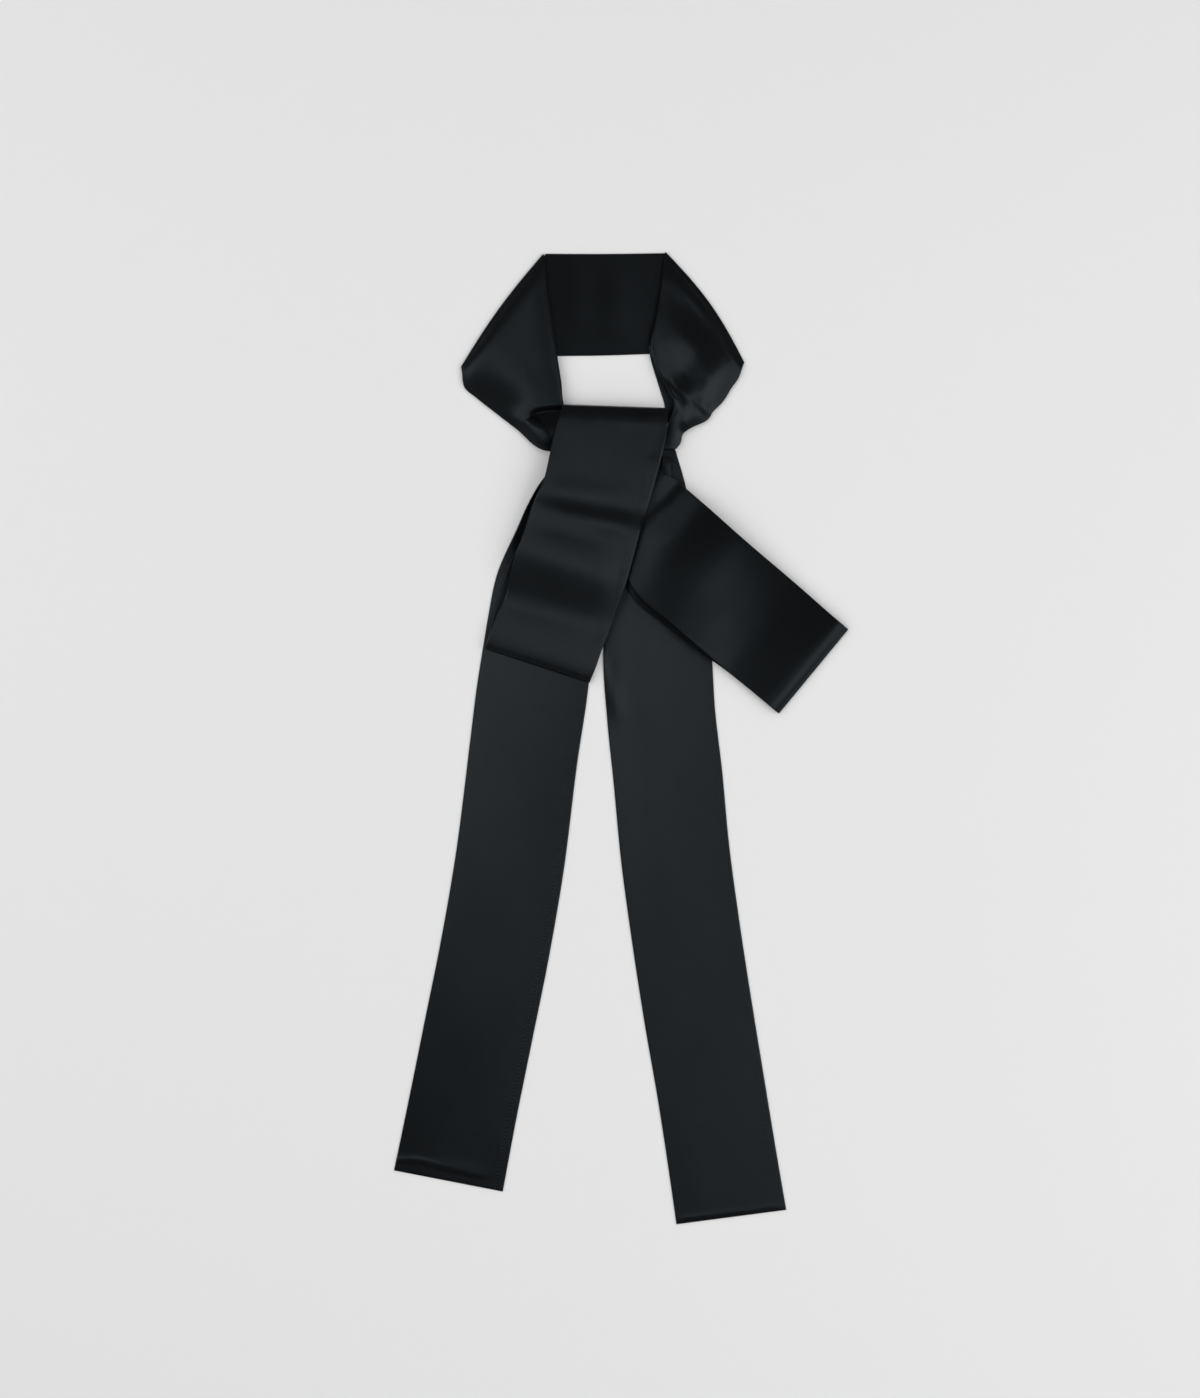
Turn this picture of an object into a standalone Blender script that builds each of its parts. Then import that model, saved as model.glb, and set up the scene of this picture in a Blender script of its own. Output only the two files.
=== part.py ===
"""A satin neck scarf tied in a soft bow and laid flat, modelled in Blender.

The scarf is one long tube of satin, pressed flat. Each stretch of it that shows is a
strip of cloth through a short table of sections. A strip lies on whatever was laid
before it, and on the floor (z = 0) elsewhere. Lengths in the tables are millimetres.
"""

from collections import namedtuple
from math import cos, pi, sin

import bmesh
import bpy
import numpy as np
from mathutils import Vector
from mathutils.bvhtree import BVHTree

MM = 0.001

# Driving dimensions, in millimetres.
BAND = 71.0  # width of the pressed tube, edge to edge
WALL = 1.2  # its two layers of satin
GAP = 0.3  # between stretches that touch
STATION = 6.0  # distance between stations along a stretch
STRIPS = 10  # strips across the band
FOLD_DROP = 1.4  # how far a side fold takes to come down to the floor
FOLD_EDGE = 0.8  # how far it then lies on the floor
TOP_ROLL = 2.2  # radius where the front loop rolls over the knot
TURN_STATIONS = 7  # stations round a fold
REACH = 1.5  # how far to the side a strip feels what lies under it

KNOT_CENTRE = (-3.0, 196.0)
KNOT_HALF_SIZE = (31.6, 16.5)
KNOT_HEIGHT = 5.6
KNOT_RINGS = 18
KNOT_SEGMENTS = 36
KNOT_FULLNESS = 2.6  # 2 is an ellipse, more is squarer

SATIN_ROUGHNESS = 0.4

# A section starts at (x, y) and runs for its width in the direction of its turn, in
# degrees from +X. The bow pushes its middle sideways, to the left of that direction.
# The lift raises it above what it lies on, at even steps from start to end.
Section = namedtuple("Section", "x y width turn bow lift")
FLAT = (0, 0, 0)


def sections(*rows):
    return [Section(*row) for row in rows]


# Each tail runs from its hem up to the knot, where it is gathered.
LEFT_TAIL = sections(
    (-147.5, -280.0, BAND + 1, -11, 0, FLAT),
    (-138.0, -234.5, BAND, -11, 0, FLAT),
    (-127.5, -182.5, BAND, -10.5, 0, FLAT),
    (-117.0, -130.5, BAND, -10.5, 0, FLAT),
    (-108.0, -78.5, BAND, -9.5, 0, FLAT),
    (-98.0, -0.5, BAND, -7.5, 0, FLAT),
    (-94.0, 32.0, BAND + 1, -6, 0, FLAT),
    (-89.5, 61.0, BAND, -5, 0, FLAT),
    (-86.5, 79.0, BAND - 0.5, -4, 0, FLAT),
    (-80.5, 107.5, 66.5, -3.5, 0, FLAT),
    (-68.0, 136.0, 57, -2, 0, FLAT),
    (-60.0, 153.5, 50, -1, 0, FLAT),
    (-50.5, 169.5, 42, 0, 0, FLAT),
    (-38.0, 184.0, 31, 0, 0, FLAT),
)
RIGHT_TAIL = sections(
    (36.0, -315.0, BAND + 1, 7.5, 0, FLAT),
    (31.0, -280.0, BAND, 7.5, 0, FLAT),
    (24.0, -234.5, BAND - 0.5, 8, 0, FLAT),
    (15.0, -182.5, BAND, 9, 0, FLAT),
    (7.0, -130.5, BAND, 8.5, 0, FLAT),
    (0.0, -78.5, BAND, 8, 0, FLAT),
    (-5.0, -26.5, BAND, 6.5, 0, FLAT),
    (-9.0, 12.5, BAND - 0.5, 4, 0, FLAT),
    (-11.5, 58.0, BAND - 1, 1.5, 0, FLAT),
    (-9.0, 87.5, 64, 0, 0, FLAT),
    (-6.0, 116.5, 57, 0, 0, FLAT),
    (-3.0, 141.5, 49, 1.5, 0, FLAT),
    (-0.5, 162.0, 43, 1, 0, FLAT),
    (4.5, 190.0, 30, 2, 0, FLAT),
)
# The stretch behind the neck lies flat and ends just inside the two side folds.
NECK_BACK = sections(
    (-48.0, 315.5, 82, -126, 2.5, FLAT),
    (-10.0, 315.5, 66, -90, 0, FLAT),
    (25.5, 315.5, 77.5, -52, -3, FLAT),
)
# Under the right side's inner edge, a strip of it is turned under.
NECK_TUCK = sections(
    (17.5, 257.0, 15, -13, 0, FLAT),
    (19.3, 247.0, 15, -23, 0, FLAT),
    (22.0, 237.5, 15, -30, 0, FLAT),
    (25.5, 226.5, 14, -27, 0, FLAT),
    (28.5, 215.5, 9, -27, 0, FLAT),
    (28.0, 207.0, 9, -20, 0, FLAT),
)
# Each side runs from its diagonal fold to the knot, inner edge to outer edge.
NECK_LEFT = sections(
    (-50.0, 313.0, 91, -126, -2.2, (0, 0, 0, 0)),
    (-48.0, 295.5, 85.5, -129, -1, (0, 0.6, 0.6, 0.4)),
    (-45.0, 274.0, 71.5, -133, 0, (0.2, 1.2, 1, 0.8)),
    (-42.0, 253.0, 57, -135, 0, (0.6, 1.8, 0.8, 0.8)),
    (-39.0, 233.5, 43, -132, 0, (1.2, 2.4, 0, 0.6)),
    (-36.0, 215.5, 31, -117, 0, (0.6, 1.4, 0, 0.2)),
    (-29.0, 211.0, 25, -107, 0, (0, 0, 0, 0)),
    (-15.0, 208.5, 20, -100, 0, (0, 0, 0, 0)),
)
NECK_RIGHT = sections(
    (29.0, 314.0, 87, -54.5, 4, (0, 0, 0, 0)),
    (26.5, 295.5, 78.5, -50.5, 2, (0, 1, 0.6, 0.6)),
    (23.0, 274.0, 67, -43.5, 0, (0.4, 2.4, 0.2, 1)),
    (19.5, 253.0, 57.5, -36.5, 0, (0.8, 3, 0, 1.4)),
    (24.0, 238.5, 44, -35.5, 0, (1.4, 2, 0.4, 1.8)),
    (31.5, 225.5, 30, -39, 0, (1.4, 0.4, 1, 1.6)),
    (35.0, 217.5, 18.5, -53.5, 0, (1.2, 0.4, 1.4, 1)),
    (32.5, 209.0, 13, -52, 0, (1, 0.4, 1.4, 0.4)),
    (29.8, 198.5, 10, -29, 0, (0.6, 1.2, 1.4, 0)),
    (28.5, 188.5, 7.5, 4, 0, (0, 0, 0, 0)),
)
# The side loop goes out from the knot, folds at its end and comes back on top.
SIDE_LOOP_LOW = sections(
    (19.5, 182.0, 17, -133.5, 0, FLAT),
    (25.0, 171.5, 26, -131, 0, FLAT),
    (35.5, 168.0, 56, -130.5, 0, FLAT),
    (51.5, 154.5, 71.5, -129.5, 0, FLAT),
    (77.5, 131.5, BAND + 2.5, -127.5, 0, FLAT),
    (117.0, 98.0, BAND + 1, -128.5, 0, FLAT),
    (146.5, 72.5, BAND, -129.5, 0, FLAT),
)
SIDE_LOOP_TOP = sections(
    (146.5, 72.5, BAND, -129.5, 0, (1.1, 1.1, 1.1, 1.1)),
    (137.5, 80.0, BAND, -129, 0, (1.6, 1.8, 1.8, 1.6)),
    (117.0, 98.0, BAND + 1, -128.5, 0, (1.4, 2.2, 1.2, 1.2)),
    (77.5, 131.5, BAND + 1, -127.5, 0, (1, 1.8, 2, 1)),
    (51.5, 154.5, BAND - 0.5, -129.5, 0, (0.8, 0.6, 1, 1)),
    (35.5, 168.0, 55, -130.5, 0, (0.8, 1.6, 1, 0.6)),
    (25.5, 173.5, 28, -131, 0, (0.4, 0.6, 0.6, 0.4)),
    (20.0, 182.0, 17, -133.5, 0, (0.2, 0.2, 0.2, 0.2)),
)
# A narrow strand of the knot hangs over the right tail.
KNOT_STRAND = sections(
    (27.0, 184.0, 6.5, -8, 0, FLAT),
    (26.5, 179.0, 6.5, -8, 0, (0.4, 1, 0.6)),
    (25.0, 173.0, 8, -20, 0, (0.2, 0.6, 0.4)),
    (21.5, 166.5, 9.5, -25, 0, FLAT),
)
# The front loop rolls over the knot, hangs down its front, folds and goes back under.
FRONT_LOOP_LOW = sections(
    (-27.0, 179.0, 18, -4, 0, FLAT),
    (-38.0, 172.0, 25, -6, 0, FLAT),
    (-55.0, 144.0, 43, -8.5, 0, FLAT),
    (-71.5, 116.5, 62, -12, 0, FLAT),
    (-81.0, 87.5, BAND, -13, 0, FLAT),
    (-88.0, 60.0, BAND + 0.5, -18, 0, FLAT),
)
FRONT_LOOP_TOP = sections(
    (-88.0, 60.0, BAND + 0.5, -18, 0, (0.9, 0.9, 0.9, 0.9)),
    (-85.0, 68.5, BAND + 1, -18, 0, (2.2, 2.6, 2.6, 2.2)),
    (-81.0, 80.0, BAND + 1, -17.5, 0, (2.6, 3.2, 3.2, 2.4)),
    (-73.5, 97.5, BAND + 0.5, -17, 0, (2.2, 2.6, 2.4, 2)),
    (-69.0, 117.5, BAND + 3, -15.5, 0, (3.4, 4, 3.6, 2.2)),
    (-62.0, 137.0, BAND + 1.5, -15, 0, (3.6, 4.2, 3.6, 1.2)),
    (-57.0, 152.5, BAND + 0.5, -14.5, 0, (3.4, 4.2, 3.2, 0.6)),
    (-50.0, 168.5, BAND - 1, -10.5, 0, (3, 3.4, 2, 0.4)),
    (-46.0, 185.5, BAND, -7.5, 0, (1.2, 1, 0.8, 0.6)),
    (-42.5, 201.0, BAND + 0.5, -5, 0, (0.6, 0.8, 0.8, 0.8)),
    (-38.5, 214.5, BAND - 2, -2, 0, (0.6, 0.4, 0.4, 0.6)),
)


def clear_scene():
    for obj in list(bpy.data.objects):
        bpy.data.objects.remove(obj, do_unlink=True)


def satin(name, colour):
    material = bpy.data.materials.new(name)
    material.use_nodes = True
    shader = material.node_tree.nodes["Principled BSDF"]
    shader.inputs["Base Color"].default_value = (*colour, 1)
    shader.inputs["Roughness"].default_value = SATIN_ROUGHNESS
    shader.inputs["Metallic"].default_value = 0
    return material


def along(distances, values, wanted):
    """Rows of values at the wanted distances, by smooth curves through the given ones."""
    slopes = np.gradient(values, distances, axis=0)
    place = np.clip(np.searchsorted(distances, wanted) - 1, 0, len(distances) - 2)
    span = distances[place + 1] - distances[place]
    t = ((wanted - distances[place]) / span)[:, None]
    span = span[:, None]
    return (
        (2 * t**3 - 3 * t**2 + 1) * values[place]
        + (t**3 - 2 * t**2 + t) * span * slopes[place]
        + (3 * t**2 - 2 * t**3) * values[place + 1]
        + (t**3 - t**2) * span * slopes[place + 1]
    )


def spread(rows):
    """Grids of x and y, and of the lift, for a strip through its sections."""
    start = np.array([(row.x, row.y) for row in rows])
    turn = np.radians([row.turn for row in rows])
    heading = np.column_stack([np.cos(turn), np.sin(turn)])
    end = start + heading * np.array([[row.width] for row in rows])
    middle = (start + end) / 2
    steps = np.linalg.norm(np.diff(middle, axis=0), axis=1)
    distances = np.concatenate([[0], np.cumsum(steps)])
    count = max(2, round(distances[-1] / STATION))
    wanted = np.linspace(0, distances[-1], count + 1)
    bow = [[row.bow] for row in rows]
    lift = [row.lift for row in rows]
    values = np.hstack([start, end, bow, lift])
    values = along(distances, values, wanted)
    across = np.linspace(0, 1, STRIPS + 1)
    start, end, bow = values[:, None, 0:2], values[:, None, 2:4], values[:, 4:5]
    flat = start + (end - start) * across[:, None]
    side = (end - start) / np.linalg.norm(end - start, axis=2, keepdims=True)
    push = (bow * np.sin(pi * across))[:, :, None]
    flat = flat + push * np.concatenate([-side[..., 1:], side[..., :1]], axis=2)
    even = np.linspace(0, 1, len(rows[0].lift))
    lift = along(even, values[:, 5:].T, across).T
    return flat, np.maximum(lift, 0)


def top_at(x, y, laid):
    """The height of what has been laid at a point, 0 where that is the floor."""
    height = 0.0
    overhead = Vector((x, y, 100)) * MM
    for tree in laid:
        hit = tree.ray_cast(overhead, Vector((0, 0, -1)))[0]
        if hit is not None:
            height = max(height, hit.z / MM)
    return height


def tops(flat, laid):
    """For each point of a strip, the highest thing under it and close beside it."""
    ring = [(REACH * cos(a), REACH * sin(a)) for a in np.arange(0, 2 * pi, pi / 3)]
    found = np.zeros(flat.shape[:2])
    for place in np.ndindex(found.shape):
        x, y = flat[place]
        found[place] = max(top_at(x + dx, y + dy, laid) for dx, dy in [(0, 0), *ring])
    return found


def neighbours(heights):
    """The grid shifted by one place each way, nine times in all."""
    padded = np.pad(heights, 1, mode="edge")
    rows, columns = heights.shape
    return [padded[i : i + rows, j : j + columns] for i in range(3) for j in range(3)]


def rest(flat, lift, laid):
    """Heights of a strip's middle that lies on what is under it, eased over its edges."""
    least = np.max(neighbours(tops(flat, laid)), axis=0)
    widened = np.max(neighbours(least), axis=0)
    eased = np.maximum(least, np.mean(neighbours(widened), axis=0))
    clearance = np.where(eased > 0, GAP, 0)
    return eased + clearance + WALL / 2 + lift


def with_heights(flat, heights):
    return np.concatenate([flat, heights[:, :, None]], axis=2)


def ahead(points, before):
    """The level direction in which a strip leaves a row of points."""
    away = points - before
    away[:, 2] = 0
    return away / np.linalg.norm(away, axis=1, keepdims=True)


def fold_to_floor(points):
    """Adds the first rows of a side, where its fold comes down to the floor."""
    away = ahead(points[0], points[1])
    points[0, :, 2] = WALL + GAP + WALL / 2
    rows = [points[0] + away * reach for reach in (FOLD_DROP + FOLD_EDGE, FOLD_DROP)]
    rows = np.array(rows)
    rows[:, :, 2] = WALL / 2
    return np.concatenate([rows, points])


def half_turn(low, high, before):
    """Rows round the fold from the row low to the row high, which lies above it."""
    away = ahead(low, before)
    radius = (high[:, 2:] - low[:, 2:]) / 2
    rows = []
    for step in range(1, TURN_STATIONS):
        angle = pi * step / TURN_STATIONS
        centre = low + (high - low) * (1 - cos(angle)) / 2
        rows.append(centre + away * radius * sin(angle))
    return np.array(rows)


def surface_tree(points):
    """A tree of a strip's middle surface, raised to its top."""
    rows, columns = points.shape[:2]
    corners = [Vector(p) * MM for p in (points + (0, 0, WALL / 2)).reshape(-1, 3)]
    faces = [
        (a, a + 1, a + columns + 1, a + columns)
        for i in range(rows - 1)
        for a in range(i * columns, i * columns + columns - 1)
    ]
    return BVHTree.FromPolygons(corners, faces)


def finished(name, mesh, colour):
    obj = bpy.data.objects.new(name, mesh)
    bpy.context.scene.collection.objects.link(obj)
    mesh.shade_smooth()
    mesh.materials.append(satin(name, colour))
    return obj


def cloth(name, points, colour):
    """An object whose middle surface is the grid of points, as thick as the wall."""
    rows, columns = points.shape[:2]
    mesh = bpy.data.meshes.new(name)
    bm = bmesh.new()
    # The grid's vertices run across the strip, then along it.
    bmesh.ops.create_grid(bm, x_segments=columns - 1, y_segments=rows - 1, size=1)
    for vert, point in zip(bm.verts, points.reshape(-1, 3)):
        vert.co = Vector(point) * MM
    bm.to_mesh(mesh)
    bm.free()
    obj = finished(name, mesh, colour)
    wall = obj.modifiers.new("wall", "SOLIDIFY")
    wall.thickness = WALL * MM
    wall.offset = 0
    return obj


def lay(obj, laid):
    """Adds an object to the things that later ones lie on."""
    graph = bpy.context.evaluated_depsgraph_get()
    laid.append(BVHTree.FromObject(obj, graph))


def strip(name, rows, colour, laid):
    flat, lift = spread(rows)
    points = with_heights(flat, rest(flat, lift, laid))
    lay(cloth(name, points, colour), laid)


def neck_side(name, rows, colour, laid):
    flat, lift = spread(rows)
    points = with_heights(flat, rest(flat, lift, laid))
    lay(cloth(name, fold_to_floor(points), colour), laid)


def bow_loop(low_rows, top_rows, laid):
    """A strip out along its lower layer, round its end fold and back on top."""
    flat, lift = spread(low_rows)
    low = with_heights(flat, rest(flat, lift, laid))
    flat, lift = spread(top_rows)
    top = with_heights(flat, rest(flat, lift, [*laid, surface_tree(low)]))
    fold = half_turn(low[-1], top[0], low[-2])
    return np.concatenate([low, fold, top])


def roll_over_knot(points):
    """Adds rows at the end of a strip, where it rolls down behind the knot's top."""
    away = ahead(points[-1], points[-2])
    rows = []
    for step in range(1, TURN_STATIONS + 1):
        angle = pi * step / TURN_STATIONS
        down = np.array([0, 0, TOP_ROLL * (1 - cos(angle))])
        rows.append(points[-1] + away * TOP_ROLL * sin(angle) - down)
    return np.concatenate([points, np.array(rows)])


def knot(name, colour, laid):
    """The layers hidden in the knot, as one rounded solid with a flat underside."""
    mesh = bpy.data.meshes.new(name)
    bm = bmesh.new()
    bmesh.ops.create_uvsphere(
        bm, u_segments=KNOT_SEGMENTS, v_segments=KNOT_RINGS, radius=1
    )
    size = np.array([*KNOT_HALF_SIZE, KNOT_HEIGHT])
    centre = np.array([*KNOT_CENTRE, 0])
    points = np.array([vert.co for vert in bm.verts])
    reach = (np.abs(points) ** KNOT_FULLNESS).sum(axis=1) ** (1 / KNOT_FULLNESS)
    points = points / reach[:, None] * size + centre
    base = max(top_at(x, y, laid) for x, y, z in points) + GAP
    for vert, (x, y, z) in zip(bm.verts, points):
        vert.co = Vector((x, y, base + max(z, 0))) * MM
    bm.to_mesh(mesh)
    bm.free()
    lay(finished(name, mesh, colour), laid)


def main():
    clear_scene()
    laid = []
    strip("left_tail", LEFT_TAIL, (0.016, 0.019, 0.021), laid)
    strip("right_tail", RIGHT_TAIL, (0.018, 0.021, 0.023), laid)
    strip("neck_back", NECK_BACK, (0.007, 0.009, 0.012), laid)
    strip("neck_tuck", NECK_TUCK, (0.009, 0.01, 0.011), laid)
    neck_side("neck_left", NECK_LEFT, (0.017, 0.02, 0.022), laid)
    neck_side("neck_right", NECK_RIGHT, (0.019, 0.022, 0.025), laid)
    strip("knot_strand", KNOT_STRAND, (0.02, 0.023, 0.026), laid)
    knot("knot", (0.01, 0.012, 0.014), laid)
    side = bow_loop(SIDE_LOOP_LOW, SIDE_LOOP_TOP, laid)
    lay(cloth("side_loop", side, (0.015, 0.018, 0.02)), laid)
    front = bow_loop(FRONT_LOOP_LOW, FRONT_LOOP_TOP, laid)
    lay(cloth("front_loop", roll_over_knot(front), (0.018, 0.021, 0.023)), laid)


main()
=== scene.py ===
import bmesh
import bpy
import numpy as np
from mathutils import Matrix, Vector
from mathutils.bvhtree import BVHTree


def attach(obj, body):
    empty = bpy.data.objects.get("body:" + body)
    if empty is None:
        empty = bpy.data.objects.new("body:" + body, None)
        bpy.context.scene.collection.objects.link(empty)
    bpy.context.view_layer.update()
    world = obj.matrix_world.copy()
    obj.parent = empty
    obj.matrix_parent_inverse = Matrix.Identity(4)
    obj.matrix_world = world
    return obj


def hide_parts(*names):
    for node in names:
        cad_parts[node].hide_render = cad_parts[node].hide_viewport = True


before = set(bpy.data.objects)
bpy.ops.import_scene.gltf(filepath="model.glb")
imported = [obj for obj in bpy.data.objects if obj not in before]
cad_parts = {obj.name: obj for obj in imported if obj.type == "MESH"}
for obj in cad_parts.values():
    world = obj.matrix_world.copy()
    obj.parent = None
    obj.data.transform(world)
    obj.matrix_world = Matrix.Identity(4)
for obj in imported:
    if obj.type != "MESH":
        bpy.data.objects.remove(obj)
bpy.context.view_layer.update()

mm = 0.001

# The scarf is one tube of black satin, pressed flat and tied in a soft bow.
# Every stretch of it that shows is a piece here. Lengths are in millimetres.
band = {
    "width": 71.0,  # pressed flat, edge to edge
    "halfThickness": 0.5,  # both layers together are a millimetre
    "clothWall": 0.34,
    "edgeRound": 0.55,  # radius of the two pressed edges
    "edgePlaces": (0.0, 0.14, 0.42, 1.0, 1.9),  # points round a pressed edge
    "closest": 0.1,  # least distance between two points across
    "sameSpot": 0.0001,  # points nearer than this are one
    "finer": 3,  # points stand this much closer where a stretch is to be fine
    "sewnEnd": 0.38,  # half thickness where an end is sewn shut
    "gap": 0.16,  # air between stretches that touch
    "gapFrom": 0.4,  # the full gap is kept over anything as high as this
    "reach": 1.1,  # how far to the side a stretch feels what lies under it
    "easing": 10,  # rounds of smoothing over the edges below
    "softening": 0.5,  # share of the last smoothing
    "above": 100.0,  # looks down on the scarf start this high
    "foldSteps": 12,  # steps round a loop's fold
    "turnSteps": 8,  # and where the cloth turns down at its end
}
rollEase = {"least": 4.0, "share": 0.15}  # how soon a roll starts and ends
camera = {
    "x": -13.65, "y": 26.3, "height": 2524.0,
    "lens": 100.0, "sensor": 36.0, "farthest": 20.0,  # the last one in metres
}
studio = {
    "ambient": 0.035,
    "boxes": {  # place and size in metres, power in watts
        "left box": ((-1.25, 0.30, 1.15), (0.44, 1.4), 4.1),
        "right box": ((1.25, -0.20, 1.15), (0.80, 1.4), 6.6),
    },
    "topFill": ((0.0, 0.0, 3.2), (16.0, 16.0), 595.0),
    "floorColour": 0.86,
    "floorRoughness": 0.9,
    "floorReach": 12,
}


def smoothRows(distances, values, wanted):
    # smooth curves through the rows of values
    slopes = np.gradient(values, distances, axis=0)
    place = np.clip(np.searchsorted(distances, wanted) - 1, 0, len(distances) - 2)
    span = distances[place + 1] - distances[place]
    t = ((wanted - distances[place]) / span)[:, None]
    span = span[:, None]
    return (
        (2 * t**3 - 3 * t**2 + 1) * values[place]
        + (t**3 - 2 * t**2 + t) * span * slopes[place]
        + (3 * t**2 - 2 * t**3) * values[place + 1]
        + (t**3 - t**2) * span * slopes[place + 1]
    )


def placesAcross(width, step, nearSeam=()):
    # distances from one pressed edge to the other, closer together at the edges
    half = width / 2
    near = list(band["edgePlaces"])
    count = max(2, round((half - near[-1]) / step) + 1)
    left = near + list(np.linspace(near[-1], half, count)[1:])
    right = [width - place for place in reversed(left[:-1])]
    places = sorted(left + right + [width - place for place in nearSeam])
    kept = [places[0]]
    for place in places[1:]:
        if place - kept[-1] > band["closest"]:
            kept.append(place)
    kept[-1] = width
    return np.array(kept)


def placesAlong(length, step, fineStart, fineEnd):
    # distances along a stretch, closer together where it is to be fine
    places, here = [0.0], 0.0
    while here < length:
        fine = here < fineStart or here > length - fineEnd
        here += step / band["finer"] if fine else step
        places.append(here)
    return np.array(places) * length / places[-1]


def spread(strip):
    # level grids of a stretch through its sections, with its lift
    rows = strip["rows"]
    start = np.array([row[:2] for row in rows], float)
    turn = np.radians([row[3] for row in rows])
    heading = np.column_stack([np.cos(turn), np.sin(turn)])
    end = start + heading * np.array([[row[2]] for row in rows])
    middle = (start + end) / 2
    steps = np.linalg.norm(np.diff(middle, axis=0), axis=1)
    distances = np.concatenate([[0], np.cumsum(steps)])
    fineStart, fineEnd = strip.get("fine", (0, 0))
    wanted = placesAlong(distances[-1], strip["step"], fineStart, fineEnd)
    bow = [[row[4]] for row in rows]
    lift = [row[5] for row in rows]
    values = smoothRows(distances, np.hstack([start, end, bow, lift]), wanted)
    wide = strip.get("width", band["width"])
    places = placesAcross(wide, strip["stepAcross"], strip.get("nearSeam", ()))
    share = places / wide
    start, end, bow = values[:, None, 0:2], values[:, None, 2:4], values[:, 4:5]
    flat = start + (end - start) * share[:, None]
    side = (end - start) / np.linalg.norm(end - start, axis=2, keepdims=True)
    push = (bow * np.sin(np.pi * share))[:, :, None]
    flat = flat + push * np.concatenate([-side[..., 1:], side[..., :1]], axis=2)
    even = np.linspace(0, 1, len(lift[0]))
    lift = smoothRows(even, values[:, 5:].T, share).T
    return flat, np.maximum(lift, 0), wanted, places


def smoothLine(points, straightCount=6, curvedCount=28):
    # points along a crease, through those that are given
    points = np.array(points, float)
    if len(points) == 2:
        share = np.linspace(0, 1, straightCount)[:, None]
        return points[0] + (points[1] - points[0]) * share
    steps = np.linalg.norm(np.diff(points, axis=0), axis=1)
    distances = np.concatenate([[0], np.cumsum(steps)])
    return smoothRows(distances, points, np.linspace(0, distances[-1], curvedCount))


def creaseHeight(flat, crease):
    # a soft ridge or trough along a line drawn on the cloth, fading at its ends
    line, height, leftWidth, rightWidth, fadeIn, fadeOut = crease
    line = smoothLine(line)
    begin, step = line[:-1], np.diff(line, axis=0)
    away = flat[:, :, None, :] - begin
    t = np.clip((away * step).sum(-1) / (step**2).sum(-1), 0, 1)
    off = away - t[..., None] * step
    distance = np.linalg.norm(off, axis=-1)
    pick = distance.argmin(-1)[..., None]
    distance = np.take_along_axis(distance, pick, -1)[..., 0]
    cross = step[:, 0] * away[..., 1] - step[:, 1] * away[..., 0]
    isLeft = np.take_along_axis(cross, pick, -1)[..., 0] > 0
    share = (pick[..., 0] + np.take_along_axis(t, pick, -1)[..., 0]) / len(step)
    width = np.where(isLeft, leftWidth, rightWidth)
    fade = np.ones_like(share)
    if fadeIn > 0:
        fade = fade * np.clip(share / fadeIn, 0, 1)
    if fadeOut > 0:
        fade = fade * np.clip((1 - share) / fadeOut, 0, 1)
    fade = fade * fade * (3 - 2 * fade)
    return height * fade * np.exp(-((distance / width) ** 2))


def rollHeight(alongAt, acrossAt, roll):
    # a ridge or groove that follows the stretch at one distance from its edge
    at, fromHere, toHere, width, height = roll
    near = np.exp(-(((acrossAt - at) / width) ** 2))[None, :]
    ease = max(rollEase["least"], rollEase["share"] * (toHere - fromHere))
    fade = np.clip((alongAt - fromHere) / ease, 0, 1)
    fade = fade * np.clip((toHere - alongAt) / ease, 0, 1)
    return height * near * (fade * fade * (3 - 2 * fade))[:, None]


def neighbours(heights):
    # the grid of heights moved by one place each way, nine in all
    padded = np.pad(heights, 1, mode="edge")
    rows, columns = heights.shape
    return [padded[i : i + rows, j : j + columns] for i in range(3) for j in range(3)]


def heightAt(x, y, laid):
    # the top of what is already laid there
    height = 0.0
    for tree, low, high in laid:
        if low[0] <= x <= high[0] and low[1] <= y <= high[1]:
            hit = tree.ray_cast(Vector((x, y, band["above"])), Vector((0, 0, -1)))[0]
            if hit is not None:
                height = max(height, hit.z)
    return height


def heightsUnder(flat, laid):
    reach = band["reach"]
    ring = [(0, 0), (reach, 0), (-reach, 0), (0, reach), (0, -reach)]
    under = np.zeros(flat.shape[:2])
    for place in np.ndindex(under.shape):
        x, y = flat[place]
        under[place] = max(heightAt(x + dx, y + dy, laid) for dx, dy in ring)
    return under


def layStrip(strip, laid):
    # the middle surface of a stretch, laid on what is under it
    flat, lift, alongAt, acrossAt = spread(strip)
    cover = np.max(neighbours(heightsUnder(flat, laid)), axis=0)
    eased = cover
    for _ in range(band["easing"]):
        eased = np.maximum(cover, np.mean(neighbours(eased), axis=0))
    clear = np.clip(eased / band["gapFrom"], 0, 1) * band["gap"]
    least = cover + np.clip(cover / band["gapFrom"], 0, 1) * band["gap"]
    least = least + band["halfThickness"]
    if "profile" in strip:
        at = np.array([row[0] for row in strip["profile"]], float)
        given = np.array([row[1] for row in strip["profile"]], float)
        given = smoothRows(at, given, np.clip(alongAt, at[0], at[-1]))
        even = np.linspace(0, 1, given.shape[1])
        heights = smoothRows(even, given.T, acrossAt / acrossAt[-1]).T
    else:
        heights = eased + clear + band["halfThickness"] + lift
    for crease in strip.get("creases", ()):
        heights = heights + creaseHeight(flat, crease)
    for roll in strip.get("rolls", ()):
        heights = heights + rollHeight(alongAt, acrossAt, roll)
    heights = np.maximum(heights, least)
    soft = band["softening"]
    softened = (1 - soft) * heights + soft * np.mean(neighbours(heights), axis=0)
    heights = np.maximum(least, softened)
    return np.concatenate([flat, heights[:, :, None]], axis=2), acrossAt


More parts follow.
